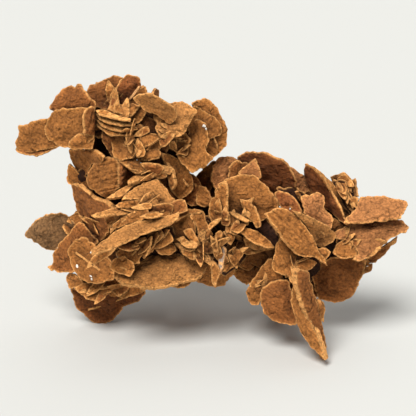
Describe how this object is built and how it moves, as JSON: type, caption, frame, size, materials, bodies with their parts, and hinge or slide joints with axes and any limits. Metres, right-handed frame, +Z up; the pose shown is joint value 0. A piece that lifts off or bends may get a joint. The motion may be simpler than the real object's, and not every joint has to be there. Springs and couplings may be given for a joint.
{
  "type": "gypsum sand rose",
  "caption": "Cluster of thin lens-shaped sandy gypsum crystals grown through one another, standing on a foot crystal, a spike and a hind blade.",
  "frame": {"origin": "centre of the bounding box in plan, at the level of the three points it rests on", "axes": "+Z up as it stands; +X along the longest extent, towards the low arm; +Y towards the back"},
  "size_m": [0.1966, 0.0962, 0.1353],
  "materials": {
    "sandy_gypsum": "dull, gritty, with paler translucent rims"
  },
  "bodies": {
    "root": {"sand_rose": "sandy_gypsum"}
  },
  "joints": []
}
